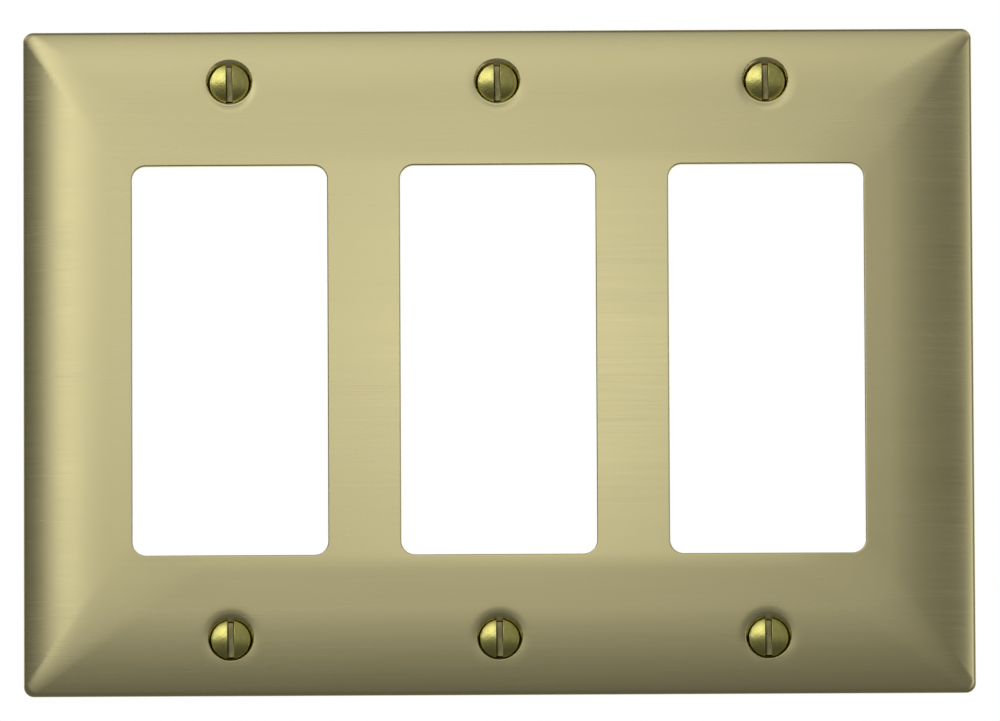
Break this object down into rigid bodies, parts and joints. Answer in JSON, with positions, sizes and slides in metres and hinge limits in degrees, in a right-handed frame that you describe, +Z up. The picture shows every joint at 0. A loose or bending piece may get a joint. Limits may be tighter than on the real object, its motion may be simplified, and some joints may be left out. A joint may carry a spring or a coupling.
{
  "type": "wall plate",
  "caption": "Brushed-brass wall plate with rectangular windows for rocker-style devices, and its countersunk fixing screws.",
  "frame": {"origin": "centre of the back rim, on the plane of the wall", "axes": "+X across the width, +Z up as fitted, the face looks along -Y"},
  "size_m": [0.163, 0.014, 0.1158],
  "materials": {
    "plate_brass": "brushed across the width, satin lacquer",
    "screw_brass": "bright turned brass"
  },
  "bodies": {
    "plate": {"wall_plate": "plate_brass"},
    "top_left_screw": {"screw_top_left": "screw_brass"},
    "top_middle_screw": {"screw_top_middle": "screw_brass"},
    "top_right_screw": {"screw_top_right": "screw_brass"},
    "bottom_left_screw": {"screw_bottom_left": "screw_brass"},
    "bottom_middle_screw": {"screw_bottom_middle": "screw_brass"},
    "bottom_right_screw": {"screw_bottom_right": "screw_brass"}
  },
  "joints": [
    {"name": "top_left_screw_out", "type": "slide", "parent": "plate", "child": "top_left_screw", "axis": [0, -1, 0], "range_m": [0, 0.013]},
    {"name": "top_middle_screw_out", "type": "slide", "parent": "plate", "child": "top_middle_screw", "axis": [0, -1, 0], "range_m": [0, 0.013]},
    {"name": "top_right_screw_out", "type": "slide", "parent": "plate", "child": "top_right_screw", "axis": [0, -1, 0], "range_m": [0, 0.013]},
    {"name": "bottom_left_screw_out", "type": "slide", "parent": "plate", "child": "bottom_left_screw", "axis": [0, -1, 0], "range_m": [0, 0.013]},
    {"name": "bottom_middle_screw_out", "type": "slide", "parent": "plate", "child": "bottom_middle_screw", "axis": [0, -1, 0], "range_m": [0, 0.013]},
    {"name": "bottom_right_screw_out", "type": "slide", "parent": "plate", "child": "bottom_right_screw", "axis": [0, -1, 0], "range_m": [0, 0.013]}
  ]
}
